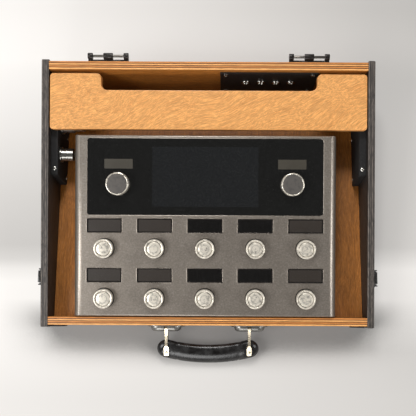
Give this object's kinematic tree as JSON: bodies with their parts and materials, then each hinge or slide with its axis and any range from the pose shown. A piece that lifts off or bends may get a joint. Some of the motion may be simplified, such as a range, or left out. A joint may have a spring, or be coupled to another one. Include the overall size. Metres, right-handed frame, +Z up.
{
  "type": "guitar pedal case",
  "caption": "Open plywood pedal case with a sloped rim, a cable shelf, draw latches, lift-off hinge halves and a bail handle, holding a floor effects unit with rotary footswitches.",
  "frame": {"origin": "centre of the footprint on the surface under the feet, with the handle lying out in front", "axes": "+X across the case to the right, +Y from the handle to the hinges, +Z up"},
  "size_m": [0.5016, 0.4498, 0.1139],
  "materials": {
    "black_ply": "matt black stain",
    "birch_ply": "oiled",
    "floor_ply": "oiled",
    "shelf_ply": "satin oil",
    "support_ply": "matt black paint",
    "bright_screw": "zinc plated",
    "panel_black": "satin powder coat",
    "jack_nickel": "nickel plated",
    "hinge_black": "black oxide",
    "hinge_pin": "bare steel",
    "black_screw": "black oxide",
    "corner_black": "moulded",
    "foot_rubber": "moulded",
    "mount_nickel": "nickel plated",
    "bail_nickel": "nickel plated",
    "grip_black": "smooth, glossed by use",
    "coupler_nickel": "nickel plated",
    "plug_nickel": "nickel plated",
    "unit_grey": "fine textured coat",
    "unit_plate": "black coat",
    "glass_black": "polished",
    "window_black": "polished",
    "jack_black": "moulded",
    "latch_black": "satin black",
    "stem_steel": "turned",
    "cap_silver": "turned",
    "knob_grey": "bead blasted"
  },
  "bodies": {
    "case": {"side_panel_left": "black_ply", "side_panel_right": "black_ply", "front_wall": "birch_ply", "back_wall": "birch_ply", "floor_panel": "floor_ply", "shelf": "shelf_ply", "shelf_supports": "support_ply", "support_screws": "bright_screw", "patch_panel": "panel_black", "patch_jacks": "jack_nickel", "patch_screws": "jack_nickel", "hinge_leaf_left": "hinge_black", "hinge_leaf_right": "hinge_black", "hinge_pins": "hinge_pin", "case_screws": "black_screw", "corner_protectors": "corner_black", "case_feet": "foot_rubber", "handle_mounts": "mount_nickel", "handle_pins": "hinge_pin", "wall_couplers": "coupler_nickel", "latch_plate_left": "latch_black", "latch_plate_right": "latch_black"},
    "handle": {"handle_bails": "bail_nickel", "handle_grip": "grip_black"},
    "plug": {"coupler_plug": "plug_nickel"},
    "unit": {"unit_housing": "unit_grey", "unit_base": "unit_plate", "unit_glass": "glass_black", "unit_displays": "window_black", "unit_jacks": "jack_black", "unit_feet": "foot_rubber"},
    "lever_left": {"latch_lever_left": "latch_black"},
    "claw_left": {"latch_claw_left": "latch_black"},
    "lever_right": {"latch_lever_right": "latch_black"},
    "claw_right": {"latch_claw_right": "latch_black"},
    "switch_press_1": {"switch_stem_1": "stem_steel"},
    "switch_turn_1": {"switch_cap_1": "cap_silver"},
    "switch_press_2": {"switch_stem_2": "stem_steel"},
    "switch_turn_2": {"switch_cap_2": "cap_silver"},
    "switch_press_3": {"switch_stem_3": "stem_steel"},
    "switch_turn_3": {"switch_cap_3": "cap_silver"},
    "switch_press_4": {"switch_stem_4": "stem_steel"},
    "switch_turn_4": {"switch_cap_4": "cap_silver"},
    "switch_press_5": {"switch_stem_5": "stem_steel"},
    "switch_turn_5": {"switch_cap_5": "cap_silver"},
    "switch_press_6": {"switch_stem_6": "stem_steel"},
    "switch_turn_6": {"switch_cap_6": "cap_silver"},
    "switch_press_7": {"switch_stem_7": "stem_steel"},
    "switch_turn_7": {"switch_cap_7": "cap_silver"},
    "switch_press_8": {"switch_stem_8": "stem_steel"},
    "switch_turn_8": {"switch_cap_8": "cap_silver"},
    "switch_press_9": {"switch_stem_9": "stem_steel"},
    "switch_turn_9": {"switch_cap_9": "cap_silver"},
    "switch_press_10": {"switch_stem_10": "stem_steel"},
    "switch_turn_10": {"switch_cap_10": "cap_silver"},
    "knob_press_left": {"knob_stem_left": "stem_steel"},
    "knob_turn_left": {"knob_cap_left": "knob_grey"},
    "knob_press_right": {"knob_stem_right": "stem_steel"},
    "knob_turn_right": {"knob_cap_right": "knob_grey"}
  },
  "joints": [
    {"name": "handle_swing", "type": "hinge", "parent": "case", "child": "handle", "pos_m": [0, -0.17244, 0.02855], "axis": [-1, 0, 0], "range_deg": [0, 90]},
    {"name": "plug_pull", "type": "slide", "parent": "case", "child": "plug", "axis": [1, 0, 0], "range_m": [0, 0.03]},
    {"name": "unit_lift", "type": "slide", "parent": "case", "child": "unit", "axis": [0, 0, 1], "range_m": [0, 0.1]},
    {"name": "latch_lever_left", "type": "hinge", "parent": "case", "child": "lever_left", "pos_m": [-0.2478, -0.09814, 0.04619], "axis": [0, 1, 0], "range_deg": [0, 120]},
    {"name": "latch_claw_left", "type": "hinge", "parent": "lever_left", "child": "claw_left", "pos_m": [-0.2478, -0.09814, 0.03719], "axis": [0, 1, 0], "range_deg": [-120, 0]},
    {"name": "latch_lever_right", "type": "hinge", "parent": "case", "child": "lever_right", "pos_m": [0.2478, -0.09814, 0.04619], "axis": [0, -1, 0], "range_deg": [0, 120]},
    {"name": "latch_claw_right", "type": "hinge", "parent": "lever_right", "child": "claw_right", "pos_m": [0.2478, -0.09814, 0.03719], "axis": [0, -1, 0], "range_deg": [-120, 0]},
    {"name": "switch_press_1", "type": "slide", "parent": "unit", "child": "switch_press_1", "axis": [0, 0.1564, -0.9877], "range_m": [0, 0.0015], "stiffness_N_per_m": 3000, "springref_m": -0.0002},
    {"name": "switch_turn_1", "type": "hinge", "parent": "switch_press_1", "child": "switch_turn_1", "pos_m": [-0.1499, -0.12896, 0.06137], "axis": [0, -0.1564, 0.9877], "continuous": true},
    {"name": "switch_press_2", "type": "slide", "parent": "unit", "child": "switch_press_2", "axis": [0, 0.1564, -0.9877], "range_m": [0, 0.0015], "stiffness_N_per_m": 3000, "springref_m": -0.0002},
    {"name": "switch_turn_2", "type": "hinge", "parent": "switch_press_2", "child": "switch_turn_2", "pos_m": [-0.0769, -0.12896, 0.06137], "axis": [0, -0.1564, 0.9877], "continuous": true},
    {"name": "switch_press_3", "type": "slide", "parent": "unit", "child": "switch_press_3", "axis": [0, 0.1564, -0.9877], "range_m": [0, 0.0015], "stiffness_N_per_m": 3000, "springref_m": -0.0002},
    {"name": "switch_turn_3", "type": "hinge", "parent": "switch_press_3", "child": "switch_turn_3", "pos_m": [-0.0039, -0.12896, 0.06137], "axis": [0, -0.1564, 0.9877], "continuous": true},
    {"name": "switch_press_4", "type": "slide", "parent": "unit", "child": "switch_press_4", "axis": [0, 0.1564, -0.9877], "range_m": [0, 0.0015], "stiffness_N_per_m": 3000, "springref_m": -0.0002},
    {"name": "switch_turn_4", "type": "hinge", "parent": "switch_press_4", "child": "switch_turn_4", "pos_m": [0.0691, -0.12896, 0.06137], "axis": [0, -0.1564, 0.9877], "continuous": true},
    {"name": "switch_press_5", "type": "slide", "parent": "unit", "child": "switch_press_5", "axis": [0, 0.1564, -0.9877], "range_m": [0, 0.0015], "stiffness_N_per_m": 3000, "springref_m": -0.0002},
    {"name": "switch_turn_5", "type": "hinge", "parent": "switch_press_5", "child": "switch_turn_5", "pos_m": [0.1421, -0.12896, 0.06137], "axis": [0, -0.1564, 0.9877], "continuous": true},
    {"name": "switch_press_6", "type": "slide", "parent": "unit", "child": "switch_press_6", "axis": [0, 0.1564, -0.9877], "range_m": [0, 0.0015], "stiffness_N_per_m": 3000, "springref_m": -0.0002},
    {"name": "switch_turn_6", "type": "hinge", "parent": "switch_press_6", "child": "switch_turn_6", "pos_m": [-0.1499, -0.05784, 0.07263], "axis": [0, -0.1564, 0.9877], "continuous": true},
    {"name": "switch_press_7", "type": "slide", "parent": "unit", "child": "switch_press_7", "axis": [0, 0.1564, -0.9877], "range_m": [0, 0.0015], "stiffness_N_per_m": 3000, "springref_m": -0.0002},
    {"name": "switch_turn_7", "type": "hinge", "parent": "switch_press_7", "child": "switch_turn_7", "pos_m": [-0.0769, -0.05784, 0.07263], "axis": [0, -0.1564, 0.9877], "continuous": true},
    {"name": "switch_press_8", "type": "slide", "parent": "unit", "child": "switch_press_8", "axis": [0, 0.1564, -0.9877], "range_m": [0, 0.0015], "stiffness_N_per_m": 3000, "springref_m": -0.0002},
    {"name": "switch_turn_8", "type": "hinge", "parent": "switch_press_8", "child": "switch_turn_8", "pos_m": [-0.0039, -0.05784, 0.07263], "axis": [0, -0.1564, 0.9877], "continuous": true},
    {"name": "switch_press_9", "type": "slide", "parent": "unit", "child": "switch_press_9", "axis": [0, 0.1564, -0.9877], "range_m": [0, 0.0015], "stiffness_N_per_m": 3000, "springref_m": -0.0002},
    {"name": "switch_turn_9", "type": "hinge", "parent": "switch_press_9", "child": "switch_turn_9", "pos_m": [0.0691, -0.05784, 0.07263], "axis": [0, -0.1564, 0.9877], "continuous": true},
    {"name": "switch_press_10", "type": "slide", "parent": "unit", "child": "switch_press_10", "axis": [0, 0.1564, -0.9877], "range_m": [0, 0.0015], "stiffness_N_per_m": 3000, "springref_m": -0.0002},
    {"name": "switch_turn_10", "type": "hinge", "parent": "switch_press_10", "child": "switch_turn_10", "pos_m": [0.1421, -0.05784, 0.07263], "axis": [0, -0.1564, 0.9877], "continuous": true},
    {"name": "knob_press_left", "type": "slide", "parent": "unit", "child": "knob_press_left", "axis": [0, 0.1564, -0.9877], "range_m": [0, 0.0008], "stiffness_N_per_m": 2000, "springref_m": -0.0002},
    {"name": "knob_turn_left", "type": "hinge", "parent": "knob_press_left", "child": "knob_turn_left", "pos_m": [-0.1299, 0.03433, 0.08723], "axis": [0, -0.1564, 0.9877], "continuous": true},
    {"name": "knob_press_right", "type": "slide", "parent": "unit", "child": "knob_press_right", "axis": [0, 0.1564, -0.9877], "range_m": [0, 0.0008], "stiffness_N_per_m": 2000, "springref_m": -0.0002},
    {"name": "knob_turn_right", "type": "hinge", "parent": "knob_press_right", "child": "knob_turn_right", "pos_m": [0.1221, 0.03433, 0.08723], "axis": [0, -0.1564, 0.9877], "continuous": true}
  ],
  "couplings": [
    {"joint": "latch_claw_left", "follows": "latch_lever_left", "ratio": -1},
    {"joint": "latch_claw_right", "follows": "latch_lever_right", "ratio": -1}
  ]
}
